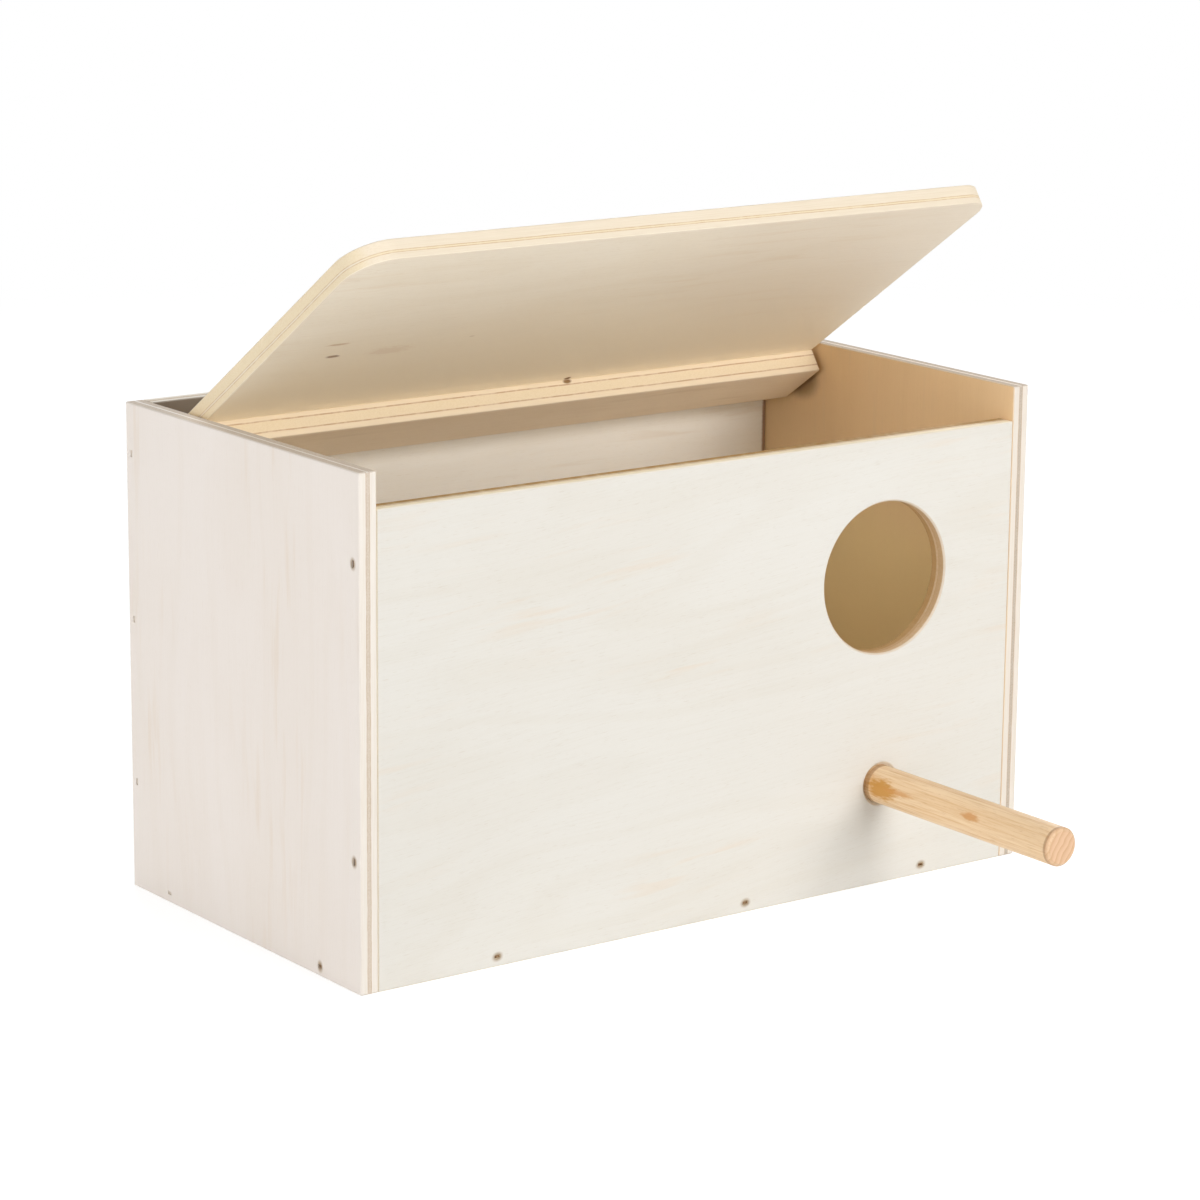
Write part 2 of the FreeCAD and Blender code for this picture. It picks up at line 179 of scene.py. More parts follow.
def use(tree, group, **inputs):
    """Place a node group, with its inputs by socket name with _ for a space."""
    made = add(tree, "Group", node_tree=group)
    for label, source in inputs.items():
        socket = made.inputs[label.replace("_", " ")]
        if isinstance(source, bpy.types.NodeSocket):
            tree.links.new(source, socket)
        else:
            socket.default_value = source
    return made.outputs


print("a warm white in linear numbers:", [round(part, 3) for part in tone(236, 230, 220)])

# %% [markdown]
# ## Measuring each board
# Grain only looks right if it follows the board: along its length on the faces, and cut across
# on the ends. The lid stands open at an angle, so world X, Y and Z don't fit it. Each board's own
# three directions are therefore read from its mesh: the broad faces give the outward direction,
# the grain direction is a joiner's choice, and the third is at right angles to both.

# %% Find a board's own directions
MM = 1000.0


def outward_of(node):
    """The way a board's outer broad face looks: out from the middle of the box, or up."""
    flats = {}
    for face in frame["nodes"][node].data.polygons:
        key = tuple(round(part, 3) for part in face.normal)
        flats[key] = flats.get(key, 0.0) + face.area
    normal = Vector(max(flats, key=flats.get)).normalized()
    low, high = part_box(node)
    from_box = (low + high) / 2 - (footprint_middle + Vector((0.0, 0.0, AIM_HEIGHT)))
    return normal if normal.dot(from_box) > 0 else -normal


def measure_board(node, grain):
    """A board's directions, its middle and its size along each of them, in metres."""
    outward = outward_of(node)
    along = (Vector(grain) - outward * outward.dot(Vector(grain))).normalized()
    axes = (along, outward.cross(along), outward)
    corners = [vertex.co for vertex in frame["nodes"][node].data.vertices]
    middle = Vector((0.0, 0.0, 0.0))
    sizes = []
    for axis in axes:
        reach = [corner.dot(axis) for corner in corners]
        middle += axis * (min(reach) + max(reach)) / 2
        sizes.append(max(reach) - min(reach))
    return {"axes": axes, "middle": middle, "sizes": sizes}


def spot_on(node, grain, point):
    """A point of the room in a board's own millimetres: along, across and outward."""
    board = measure_board(node, grain)
    return tuple((Vector(point) - board["middle"]).dot(axis) * MM for axis in board["axes"])


lid_measure = measure_board("lid_board", (1.0, 0.0, 0.0))
print("the lid is", [round(size * MM, 1) for size in lid_measure["sizes"]], "mm")

# %% [markdown]
# ## Group 1: a place on the board
# This group turns a point of the surface into millimetres along the grain, across it and through
# the thickness. From the way the surface looks it also tells a broad face from a sawn edge, and
# an edge cut along the fibres from one that cuts them off. It could be repeated in every
# material, but as a group it is built once and each board only fills in its own directions.

# %% Build the place group
FACE_STARTS = 0.55
FACE_IS_SURE = 0.85
MIDDLE_BLUR = 0.3


def make_place_group():
    """Turn surface points into board millimetres and tell faces, edges and ends apart."""
    takes = [("Grain", "vector"), ("Across", "vector"), ("Outward", "vector"),
             ("Middle", "vector")]
    gives = [("Place", "vector"), ("Sawn Edge", "value"), ("Cut Fibres", "value"),
             ("Outer Face", "value")]
    tree, given, result = new_group("board_place", takes, gives)
    surface = add(tree, "TexCoord").outputs
    reach = vector_calc(tree, "SUBTRACT", surface["Object"], given["Middle"])
    steps = [calc(tree, "MULTIPLY", dot(tree, reach, given[name]), MM)
             for name in ("Grain", "Across", "Outward")]
    place = add(tree, "CombineXYZ", dict(enumerate(steps))).outputs[0]
    facing = calc(tree, "ABSOLUTE", dot(tree, surface["Normal"], given["Outward"]))
    on_face = soft_step(tree, facing, FACE_STARTS, FACE_IS_SURE)
    ending = calc(tree, "ABSOLUTE", dot(tree, surface["Normal"], given["Grain"]))
    give(tree, result, Place=place, Sawn_Edge=calc(tree, "SUBTRACT", 1.0, on_face),
         Cut_Fibres=soft_step(tree, ending, FACE_STARTS, FACE_IS_SURE),
         Outer_Face=soft_step(tree, steps[2], -MIDDLE_BLUR, MIDDLE_BLUR))
    return tree


place_group = make_place_group()
print("group", place_group.name, "has", len(place_group.nodes), "nodes")

# %% [markdown]
# ## Group 2: peeled veneer
# The faces are pale veneer, peeled from a turning log like paper from a roll. The knife meets the
# growth rings at a shallow angle, which leaves wide soft contours, long fibres, short dark pores
# and now and then a warm streak of heartwood. Each is a noise stretched along the grain, and
# the growth contours are one slow noise cut into levels, as height lines are on a map. A cut says
# between which two noise values a figure fades in. The result stays faint, because this wood is
# nearly white.

# %% Build the veneer group
CONTOUR_SIZE = (230.0, 42.0, 42.0)
CONTOUR_LEVELS = 7.0
STREAK_SIZE = (42.0, 3.4, 30.0)
STREAK_FIELD = (95.0, 40.0, 60.0)
FIBRE_SIZE = (26.0, 0.5, 0.5)
PORE_SIZE = (3.4, 0.2, 0.2)
CLOUD_SIZE = (80.0, 48.0, 60.0)
WANDER_SIZE = (110.0, 50.0, 60.0)
WANDER_REACH = 9.0
CONTOUR_CUT = (0.1, 1.0)
STREAK_CUT = (0.52, 0.70)
STREAK_FIELD_CUT = (0.47, 0.66)
PORE_CUT = (0.64, 0.76)
CLOUD_CUT = (0.3, 0.7)
FIBRE_CUT = (0.42, 0.72)
CLOUD_SHADE = (0.965, 0.95, 0.925)
CLOUD_STRENGTH = 0.5
GROWTH_SHADE = (0.93, 0.90, 0.85)
GROWTH_STRENGTH = 0.55
FIBRE_SHADE = (0.90, 0.87, 0.82)
FIBRE_STRENGTH = 0.6
PORE_SHADE = (0.78, 0.70, 0.60)
FIBRE_RELIEF = 0.05
PORE_RELIEF = 0.035
GROWTH_RELIEF = 0.012
SANDED_SHINE = (0.60, 0.78)


def wandering(tree, place, seed):
    """Let the grain drift sideways a little, as it does in a real trunk."""
    drift = calc(tree, "SUBTRACT", grains(tree, place, WANDER_SIZE, seed), 0.5)
    sideways = calc(tree, "MULTIPLY", drift, WANDER_REACH)
    shift = add(tree, "CombineXYZ", {1: sideways}).outputs[0]
    return vector_calc(tree, "ADD", place, shift)


def contours(tree, place, seed):
    """Soft growth lines: one slow noise cut into levels."""
    slow = grains(tree, place, CONTOUR_SIZE, seed, detail=1.5)
    turns = calc(tree, "MULTIPLY", slow, CONTOUR_LEVELS * 2 * math.pi)
    wave = calc(tree, "SINE", turns)
    return soft_step(tree, wave, *CONTOUR_CUT)


def streaks(tree, place, seed):
    """A few warm streaks, only where a second, broad noise allows them."""
    narrow = soft_step(tree, grains(tree, place, STREAK_SIZE, seed, detail=3.0), *STREAK_CUT)
    field = soft_step(tree, grains(tree, place, STREAK_FIELD, seed, detail=1.0),
                      *STREAK_FIELD_CUT)
    return calc(tree, "MULTIPLY", narrow, field)


def make_veneer_group():
    """The colour, relief and shine of a sanded veneer face."""
    takes = [("Place", "vector"), ("Seed", "value"), ("Wood", "colour"), ("Streak", "colour"),
             ("Figure", "value")]
    gives = [("Colour", "colour"), ("Height", "value"), ("Roughness", "value")]
    tree, given, result = new_group("peeled_veneer", takes, gives)
    place = wandering(tree, given["Place"], given["Seed"])
    growth = contours(tree, place, given["Seed"])
    warm = streaks(tree, place, given["Seed"])
    fibre = grains(tree, place, FIBRE_SIZE, given["Seed"], detail=4.0, roughness=0.62)
    pore = soft_step(tree, grains(tree, place, PORE_SIZE, given["Seed"], detail=1.0), *PORE_CUT)
    cloud = grains(tree, given["Place"], CLOUD_SIZE, given["Seed"], detail=2.5)

    figure = given["Figure"]
    wood = given["Wood"]
    clouded = calc(tree, "MULTIPLY", soft_step(tree, cloud, *CLOUD_CUT), CLOUD_STRENGTH)
    colour = blend(tree, clouded, wood, tint(tree, wood, CLOUD_SHADE))
    grown = calc(tree, "MULTIPLY", growth, calc(tree, "MULTIPLY", figure, GROWTH_STRENGTH))
    colour = blend(tree, grown, colour, tint(tree, colour, GROWTH_SHADE))
    colour = blend(tree, calc(tree, "MULTIPLY", warm, figure), colour, given["Streak"])
    thread = calc(tree, "MULTIPLY", soft_step(tree, fibre, *FIBRE_CUT),
                  calc(tree, "MULTIPLY", figure, FIBRE_STRENGTH))
    colour = blend(tree, thread, colour, tint(tree, colour, FIBRE_SHADE))
    open_pore = calc(tree, "MULTIPLY", pore, figure)
    colour = blend(tree, open_pore, colour, tint(tree, colour, PORE_SHADE))

    raised = calc(tree, "MULTIPLY", fibre, FIBRE_RELIEF)
    raised = calc(tree, "SUBTRACT", raised, calc(tree, "MULTIPLY", pore, PORE_RELIEF))
    raised = calc(tree, "ADD", raised, calc(tree, "MULTIPLY", growth, GROWTH_RELIEF))
    give(tree, result, Colour=colour, Height=raised,
         Roughness=blend_values(tree, fibre, *SANDED_SHINE))
    return tree


veneer_group = make_veneer_group()
print("group", veneer_group.name, "has", len(veneer_group.nodes), "nodes")

# %% [markdown]
# ## Group 3: the sawn edge of plywood
# An edge shows how the board was made: a thick core between two thin veneers, with a dark line of
# glue at each joint. The core's fibres run crosswise, so where the veneers show long smooth
# fibres the core shows cut-off ones, which drink light and look darker. The lines could be
# modelled as separate layers, but the board is one solid piece when it is cut, so the layers are
# drawn from the distance through the thickness.

# %% Build the sawn-edge group
GLUE_WAVE = 0.34
LONG_FIBRE = (16.0, 0.55, 0.38)
CROSS_FIBRE = (0.55, 16.0, 0.38)
SAW_MARKS = (1.3, 1.3, 9.0)
GLUE_WAVE_SIZE = (11.0, 11.0, 30.0)
GLUE_BREAK_SIZE = (3.0, 3.0, 40.0)
LAYER_BLUR = 0.05
GLUE_RIM = (0.45, 1.0)
GLUE_BREAK_CUT = (0.30, 0.62)
GLUE_PALE_AND_FULL = (0.45, 1.0)
OPEN_GRAIN_DEPTH = (0.35, 1.0)
EDGE_FIBRE_CUT = (0.35, 0.75)
EDGE_FIBRE_SHADE = (0.90, 0.86, 0.79)
EDGE_FIBRE_STRENGTH = 0.4
# Blur and patchiness of the darker band along the inner side of an edge.
BAND_BLUR = 0.3
BAND_BREAK = (0.82, 1.0)
EDGE_FIBRE_RELIEF = 0.10
SAW_RELIEF = 0.05
GLUE_RELIEF = 0.05
SAWN_SHINE = (0.72, 0.88)


def make_edge_group():
    """The layers of a plywood edge, from the place through its thickness."""
    takes = [("Place", "vector"), ("Seed", "value"), ("Wood", "colour"), ("Cut Wood", "colour"),
             ("Glue", "colour"), ("Scorch", "colour"), ("Scorched To", "value"),
             ("Cut Fibres", "value"), ("Core Middle", "value"), ("Core Half", "value"),
             ("Glue Half", "value")]
    gives = [("Colour", "colour"), ("Height", "value"), ("Roughness", "value")]
    tree, given, result = new_group("plywood_edge", takes, gives)
    through = add(tree, "SeparateXYZ", {0: given["Place"]}).outputs[2]
    wave = grains(tree, given["Place"], GLUE_WAVE_SIZE, given["Seed"], detail=3.0)
    bend = calc(tree, "MULTIPLY", calc(tree, "SUBTRACT", wave, 0.5), GLUE_WAVE)
    from_core = calc(tree, "SUBTRACT", through, given["Core Middle"])
    level = calc(tree, "ABSOLUTE", calc(tree, "ADD", from_core, bend))
    past_core = calc(tree, "SUBTRACT", level, given["Core Half"])
    in_veneer = soft_step(tree, past_core, -LAYER_BLUR, LAYER_BLUR)
    near_glue = calc(tree, "DIVIDE", calc(tree, "ABSOLUTE", past_core), given["Glue Half"])
    broken = soft_step(tree, grains(tree, given["Place"], GLUE_BREAK_SIZE, given["Seed"],
                                    detail=3.0), *GLUE_BREAK_CUT)
    glue = calc(tree, "MULTIPLY", calc(tree, "SUBTRACT", 1.0,
                                       soft_step(tree, near_glue, *GLUE_RIM)),
                blend_values(tree, broken, *GLUE_PALE_AND_FULL))

    lengthwise = grains(tree, given["Place"], LONG_FIBRE, given["Seed"], detail=3.0)
    crosswise = grains(tree, given["Place"], CROSS_FIBRE, given["Seed"], detail=3.0)
    fibre = blend_values(tree, in_veneer, crosswise, lengthwise)
    core_cut = calc(tree, "SUBTRACT", 1.0, given["Cut Fibres"])
    open_grain = blend_values(tree, in_veneer, core_cut, given["Cut Fibres"])
    dark = calc(tree, "MULTIPLY", open_grain, blend_values(tree, fibre, *OPEN_GRAIN_DEPTH))
    colour = blend(tree, dark, given["Wood"], given["Cut Wood"])
    thread = calc(tree, "MULTIPLY", soft_step(tree, fibre, *EDGE_FIBRE_CUT),
                  EDGE_FIBRE_STRENGTH)
    colour = blend(tree, thread, colour, tint(tree, colour, EDGE_FIBRE_SHADE))
    colour = blend(tree, glue, colour, given["Glue"])
    # A darker band along the inner side of the edge, from the inner face up to a given depth, in
    # patches.
    to_band = calc(tree, "SUBTRACT", through, given["Scorched To"])
    in_band = calc(tree, "SUBTRACT", 1.0,
                    soft_step(tree, to_band, -BAND_BLUR, BAND_BLUR))
    patchy = blend_values(tree, broken, *BAND_BREAK)
    colour = blend(tree, calc(tree, "MULTIPLY", in_band, patchy), colour, given["Scorch"])

    scored = grains(tree, given["Place"], SAW_MARKS, given["Seed"], detail=2.0)
    raised = calc(tree, "ADD", calc(tree, "MULTIPLY", fibre, EDGE_FIBRE_RELIEF),
                  calc(tree, "MULTIPLY", scored, SAW_RELIEF))
    raised = calc(tree, "SUBTRACT", raised, calc(tree, "MULTIPLY", glue, GLUE_RELIEF))
    give(tree, result, Colour=colour, Height=raised,
         Roughness=blend_values(tree, open_grain, *SAWN_SHINE))
    return tree


edge_group = make_edge_group()
print("group", edge_group.name, "has", len(edge_group.nodes), "nodes")

# %% [markdown]
# ## Group 4: broken arrises
# Two passes of sandpaper take the sharpness off every arris, and handling polishes it. The
# shader's Bevel node compares the true normal with one that is rounded over a small radius. Where
# they differ, the point is on an arris. A noise breaks the mask up, so that the sanding isn't
# equally strong everywhere.

# %% Build the arris group
SANDING_SIZE = (14.0, 14.0, 14.0)
SANDING_CUT = (0.30, 0.65)
LEAST_SANDED = 0.35
ARRIS_TURN = (0.02, 0.22)


def make_arris_group():
    """A mask of sanded arrises and the softened normal that goes with it."""
    tree, given, result = new_group(
        "sanded_arris", [("Place", "vector"), ("Seed", "value"), ("Radius", "value")],
        [("Worn", "value"), ("Normal", "vector")])
    rounded = add(tree, "Bevel", {"Radius": given["Radius"]}, samples=4).outputs[0]
    true_normal = add(tree, "NewGeometry").outputs["True Normal"]
    turned = calc(tree, "SUBTRACT", 1.0, dot(tree, rounded, true_normal))
    patchy = soft_step(tree, grains(tree, given["Place"], SANDING_SIZE, given["Seed"],
                                    detail=4.0, roughness=0.65), *SANDING_CUT)
    worn = calc(tree, "MULTIPLY", soft_step(tree, turned, *ARRIS_TURN),
                blend_values(tree, patchy, LEAST_SANDED, 1.0))
    give(tree, result, Worn=worn, Normal=rounded)
    return tree


arris_group = make_arris_group()
print("group", arris_group.name, "has", len(arris_group.nodes), "nodes")

# %% [markdown]
# ## Group 5: knots, stains and flecks
# Some marks sit in one place: a knot in the dowel, a nick in the lid. Each is a small ellipsoid
# round a point of the board, with a ragged rim. Others are scattered, such as the brown mineral
# flecks of a pale veneer. For those a cell pattern is laid over the board and a few cells, picked
# by their random colour, get a fleck at their centre. Round the end of a brad the wood is pressed
# and darker, which is a smooth ellipsoid with a small group of its own.

# %% Build the mark and fleck groups
RIM_SIZE = (2.4, 0.7, 0.7)
FLECK_CELL = (15.0, 6.0, 6.0)
FLECK_SIZES = (0.05, 0.13)
BRUISE_REACH = (2.5, 1.9, 2.0)
MARK_RIM = (0.45, 1.0)
FLECK_RIM = (0.5, 1.0)
BRUISE_RIM = (0.35, 1.0)


def distance_in(tree, place, centre, reach):
    """How far a place is from a centre, where 1 is the surface of the ellipsoid round it."""
    offset = vector_calc(tree, "SUBTRACT", place, centre)
    scaled = vector_calc(tree, "DIVIDE", offset, reach)
    return add(tree, "VectorMath", {0: scaled}, operation="LENGTH").outputs["Value"]


def make_mark_group():
    """A single ragged mark round one point of the board."""
    tree, given, result = new_group(
        "single_mark", [("Place", "vector"), ("Centre", "vector"), ("Reach", "vector"),
                        ("Ragged", "value")], [("Mask", "value")])
    length = distance_in(tree, given["Place"], given["Centre"], given["Reach"])
    rim = calc(tree, "SUBTRACT", grains(tree, given["Place"], RIM_SIZE, 3.0, detail=3.0), 0.5)
    edge = calc(tree, "ADD", length, calc(tree, "MULTIPLY", rim, given["Ragged"]))
    mask = calc(tree, "SUBTRACT", 1.0, soft_step(tree, edge, *MARK_RIM))
    give(tree, result, Mask=mask)
    return tree


def make_fleck_group():
    """A few small flecks, scattered by a cell pattern."""
    tree, given, result = new_group(
        "brown_flecks", [("Place", "vector"), ("Seed", "value"), ("Share", "value")],
        [("Mask", "value")])
    shrunk = vector_calc(tree, "MULTIPLY", given["Place"], tuple(1 / side for side in FLECK_CELL))
    offset = add(tree, "CombineXYZ", {0: given["Seed"], 1: given["Seed"]}).outputs[0]
    cells = add(tree, "TexVoronoi", {"Vector": vector_calc(tree, "ADD", shrunk, offset),
                                     "Scale": 1.0}).outputs
    lot = add(tree, "SeparateColor", {0: cells["Color"]}).outputs
    picked = calc(tree, "LESS_THAN", lot[0], given["Share"])
    size = blend_values(tree, lot[1], *FLECK_SIZES)
    length = calc(tree, "DIVIDE", cells["Distance"], size)
    near = calc(tree, "SUBTRACT", 1.0, soft_step(tree, length, *FLECK_RIM))
    give(tree, result, Mask=calc(tree, "MULTIPLY", picked, near))
    return tree


def make_bruise_group():
    """Wood pressed and darkened round the end of one brad."""
    tree, given, result = new_group("brad_bruise", [("Place", "vector"), ("Centre", "vector")],
                                    [("Mask", "value")])
    length = distance_in(tree, given["Place"], given["Centre"], BRUISE_REACH)
    give(tree, result, Mask=calc(tree, "SUBTRACT", 1.0, soft_step(tree, length, *BRUISE_RIM)))
    return tree


mark_group = make_mark_group()
fleck_group = make_fleck_group()
bruise_group = make_bruise_group()
print("groups", mark_group.name, fleck_group.name, "and", bruise_group.name, "are ready")

# %% [markdown]
# ## Plywood, board by board
# One function now builds a board's material from the groups: the place on the board, a veneer
# for the outer face and a warmer one for the inner face, the sawn edge, the arrises, and any
# marks. Each board has its own seed and its own tones, because no two sheets of veneer match.
# The ends of the brads are read from their own meshes, so each dark ring follows its hole.
# The Principled shader stays in the material itself, where an exporter can find it.

# %% The plywood recipe
RELIEF = 0.001
BOARD_BUMP = 0.55
BOARD_SPECULAR = 0.35
ARRIS_RADIUS = 0.0005
ARRIS_TINT = (1.08, 1.06, 1.03)
ARRIS_STRENGTH = 0.5
INNER_SEED = 31.0
FLECK_TONE = tone(146, 104, 66)
FLECK_STRENGTH = 0.7
BRUISE_TONE = tone(160, 134, 100)
BRUISE_STRENGTH = 0.85

# A brad's head faces outward at least this squarely and is no wider than this many metres. Two
# centres closer than SAME_HEAD millimetres belong to one head.
HEAD_FACING = 0.9
HEAD_REACH = 0.003
SAME_HEAD = 1.0

# One mark on a board. Its centre and reach are in the board's own millimetres.
Mark = namedtuple("Mark", "centre reach ragged strength stain")


def start_material(name):
    """An empty node material with a Principled shader on its output."""
    material = bpy.data.materials.new(name)
    material.use_nodes = True
    tree = material.node_tree
    tree.nodes.clear()
    shader = add(tree, "BsdfPrincipled")
    output = add(tree, "OutputMaterial")
    tree.links.new(shader.outputs[0], output.inputs["Surface"])
    return material, tree, shader


def dress(node, material):
    """Give a measured piece its finish, in every slot that its mesh has."""
    piece = frame["nodes"][node]
    if not piece.data.materials:
        piece.data.materials.append(material)
    for place in piece.material_slots:
        place.material = material


def add_marks(tree, colour, place, marks):
    """Lay single marks over a colour."""
    for mark in marks:
        mask = use(tree, mark_group, Place=place, Centre=mark.centre, Reach=mark.reach,
                   Ragged=mark.ragged)["Mask"]
        covered = calc(tree, "MULTIPLY", mask, mark.strength)
        colour = blend(tree, covered, colour, tone(*mark.stain))
    return colour


def brad_ends(node, board):
    """Places of the open brad holes, in the front half of the box, in board millimetres."""
    centres = [face.center for face in frame["nodes"][node].data.polygons
               if face.normal.dot(board["axes"][2]) > HEAD_FACING and face.center.y < 0.0]
    ends = []
    for centre in centres:
        head = [other for other in centres if (other - centre).length < HEAD_REACH]
        offset = sum(head, Vector()) / len(head) - board["middle"]
        end = Vector([offset.dot(axis) * MM for axis in board["axes"]])
        if all((end - other).length > SAME_HEAD for other in ends):
            ends.append(end)
    return ends


def add_bruises(tree, colour, place, ends):
    """Darken the wood a little round each open brad hole."""
    for end in ends:
        mask = use(tree, bruise_group, Place=place, Centre=end)["Mask"]
        bruised = calc(tree, "MULTIPLY", mask, BRUISE_STRENGTH)
        colour = blend(tree, bruised, colour, BRUISE_TONE)
    return colour


def plywood(name, node, grain, seed, outer, inner, edge, figure=0.6, streak=(222, 198, 168),
            cut=(214, 192, 164), glue=(186, 152, 116), core=(0.0, 0.6), glue_line=0.14,
            inner_band=(150, 112, 74), inner_band_depth=0.0, flecks=0.04, marks=(), edge_marks=(),
            brads=None):
    """Make one board's material and put it on."""
    board = measure_board(node, grain)
    material, tree, shader = start_material(name)
    along, across, outward = board["axes"]
    where = use(tree, place_group, Grain=along, Across=across, Outward=outward,
                Middle=board["middle"])
    place, outside, on_edge = where["Place"], where["Outer Face"], where["Sawn Edge"]
    veneer = use(tree, veneer_group, Place=place, Figure=figure, Streak=tone(*streak),
                 Seed=blend_values(tree, outside, seed + INNER_SEED, seed),
                 Wood=blend(tree, outside, tone(*inner), tone(*outer)))
    half = board["sizes"][2] * MM / 2
    sawn = use(tree, edge_group, Place=place, Seed=seed, Wood=tone(*edge), Cut_Wood=tone(*cut),
               Glue=tone(*glue), Scorch=tone(*inner_band), Scorched_To=inner_band_depth - half,
               Cut_Fibres=where["Cut Fibres"], Core_Middle=core[0], Core_Half=core[1],
               Glue_Half=glue_line)
    arris = use(tree, arris_group, Place=place, Seed=seed, Radius=ARRIS_RADIUS)
    fleck = use(tree, fleck_group, Place=place, Seed=seed, Share=flecks)["Mask"]

    flecked = calc(tree, "MULTIPLY", fleck, FLECK_STRENGTH)
    colour = blend(tree, flecked, veneer["Colour"], FLECK_TONE)
    colour = add_marks(tree, colour, place, marks)
    if brads:
        colour = add_bruises(tree, colour, place, brad_ends(brads, board))
    edge_colour = add_marks(tree, sawn["Colour"], place, edge_marks)
    colour = blend(tree, on_edge, colour, edge_colour)
    worn = calc(tree, "MULTIPLY", arris["Worn"], ARRIS_STRENGTH)
    colour = blend(tree, worn, colour, tint(tree, colour, ARRIS_TINT))
    height = blend_values(tree, on_edge, veneer["Height"], sawn["Height"])
    bump = add(tree, "Bump", {"Height": height, "Strength": BOARD_BUMP, "Distance": RELIEF,
                              "Normal": arris["Normal"]})
    shine = blend_values(tree, on_edge, veneer["Roughness"], sawn["Roughness"])
    tree.links.new(colour, shader.inputs["Base Color"])
    tree.links.new(shine, shader.inputs["Roughness"])
    tree.links.new(bump.outputs[0], shader.inputs["Normal"])
    shader.inputs["Specular IOR Level"].default_value = BOARD_SPECULAR
    dress(node, material)
    return material


print("arrises are softened over", ARRIS_RADIUS * MM, "mm")

# %% [markdown]
# ## The five panels of the box
# The panels come from pale sheets, nearly white outside and honey-coloured inside. The front's
# grain runs along its length and climbs a little to the right, because the panel was cut from the
# sheet slightly askew. The side panels have upright grain, so their top edges cut the fibres off
# and look grey. A few marks are laid on: a brown glue line where the back meets the right panel,
# painted shade on the wall of the entrance, and a painted shadow beside the right hinge pin. The
# places of the last two are taken from the measured hole and hinge, so they follow the box. The
# right panel's inside is painted darker and more ochre as shade, with painted light over its lower
# part, and the back's inside is painted paler as light, with painted shade in its top corner behind
# the lid. The front's sawn edges are darker along their inner side. A mark's
# centre is given along the grain, across it and outward from the middle of the board, so the
# inner face of a 6 mm board is at about -3.

# %% Dress the panels
ALONG_WIDTH = (1.0, 0.0, 0.0)
FRONT_CLIMB = math.radians(5.0)
ALONG_FRONT = (math.cos(FRONT_CLIMB), 0.0, math.sin(FRONT_CLIMB))
UPRIGHT = (0.0, 0.0, 1.0)
INNER_FACE = -3.2

corner_glue = Mark(centre=(118.7, 0.0, INNER_FACE), reach=(1.7, 200.0, 1.5), ragged=0.2,
                   strength=0.85, stain=(146, 100, 54))
# Painted shade: a dark brown patch on the inside of the back, in its top corner behind the lid.
painted_shade_behind_lid = Mark(centre=(-116.0, -76.0, INNER_FACE), reach=(27.0, 15.0, 2.5), ragged=0.2,
                    strength=0.8, stain=(112, 86, 60))

openings = {opening["name"]: opening["box_m"] for opening in frame["record"]["physics"]["openings"]}
hole_low, hole_high = (Vector(corner) for corner in openings["entrance_hole"])
# Painted shade: the wall of the entrance hole darker and warmer.
painted_shade_in_hole = Mark(centre=spot_on("front_panel", ALONG_FRONT, (hole_low + hole_high) / 2),
                reach=(44.0, 44.0, 20.0), ragged=0.4, strength=0.75, stain=(206, 166, 116))

hinge = frame["record"]["behaviour"]["joints"][0]["pos_m"]
_, batten_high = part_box("lid_batten")
pin_up, pin_forward, _ = spot_on("right_side_panel", UPRIGHT, (batten_high.x, hinge[1], hinge[2]))
# Painted shadow: a dark brown patch on the inside of the right panel by the hinge pin, where the
# batten's end meets it.
painted_shadow_by_hinge = Mark(centre=(pin_up + 2.0, pin_forward + 3.0, INNER_FACE), reach=(9.0, 12.0, 2.5),
                 ragged=0.1, strength=0.6, stain=(120, 82, 44))
# Painted light: the lower part of the right panel's inside paler and warmer.
painted_light_low_inside = Mark(centre=(-12.0, 0.0, INNER_FACE), reach=(54.0, 90.0, 3.0), ragged=0.05,
                    strength=0.9, stain=(255, 229, 174))

# The front's sawn edges are darker along their inner side, 2.7 mm deep.
plywood("front_plywood", "front_panel", ALONG_FRONT, seed=2.0, outer=(227, 224, 217),
        inner=(251, 238, 212), edge=(250, 238, 212), figure=0.3, streak=(226, 206, 182),
        inner_band=(172, 134, 78), inner_band_depth=2.7, flecks=0.01, edge_marks=(painted_shade_in_hole,),
        brads="front_brads")
plywood("left_side_plywood", "left_side_panel", UPRIGHT, seed=5.0, outer=(241, 233, 226),
        inner=(251, 238, 212), edge=(238, 231, 222), cut=(204, 186, 166), glue=(200, 174, 146),
        figure=0.2, flecks=0.0, brads="left_side_brads")
# The right panel's inner tone is darker and more ochre than the other insides: painted shade.
plywood("right_side_plywood", "right_side_panel", UPRIGHT, seed=9.0, outer=(241, 233, 224),
        inner=(242, 208, 163), edge=(232, 223, 212), cut=(176, 158, 138), glue=(196, 168, 138),
        figure=0.25, flecks=0.01, marks=(painted_shadow_by_hinge, painted_light_low_inside), brads="right_side_brads")
# The back's inner tone is paler than the other insides: painted light.
plywood("back_plywood", "back_panel", ALONG_WIDTH, seed=13.0, outer=(237, 229, 216),
        inner=(254, 249, 240), edge=(241, 233, 220), figure=0.3, flecks=0.01,
        marks=(corner_glue, painted_shade_behind_lid))
plywood("floor_plywood", "floor_panel", ALONG_WIDTH, seed=17.0, outer=(234, 224, 208),
        inner=(251, 238, 214), edge=(241, 233, 220), figure=0.4)
print("five panels dressed")

# %% [markdown]
# ## The lid and its batten
# The lid is the same kind of plywood, seen from below, where warm light is painted on towards the
# hinge and shade is painted into the right corner of its free edge. It has a few more flecks, a
# nick left of the middle and fine lines along the grain. The batten
# under its rear edge is a strip sawn from plywood, so its front shows three layers and two glue
# lines, like a sandwich. A small knot sits where the two meet, so each of them gets half of it.

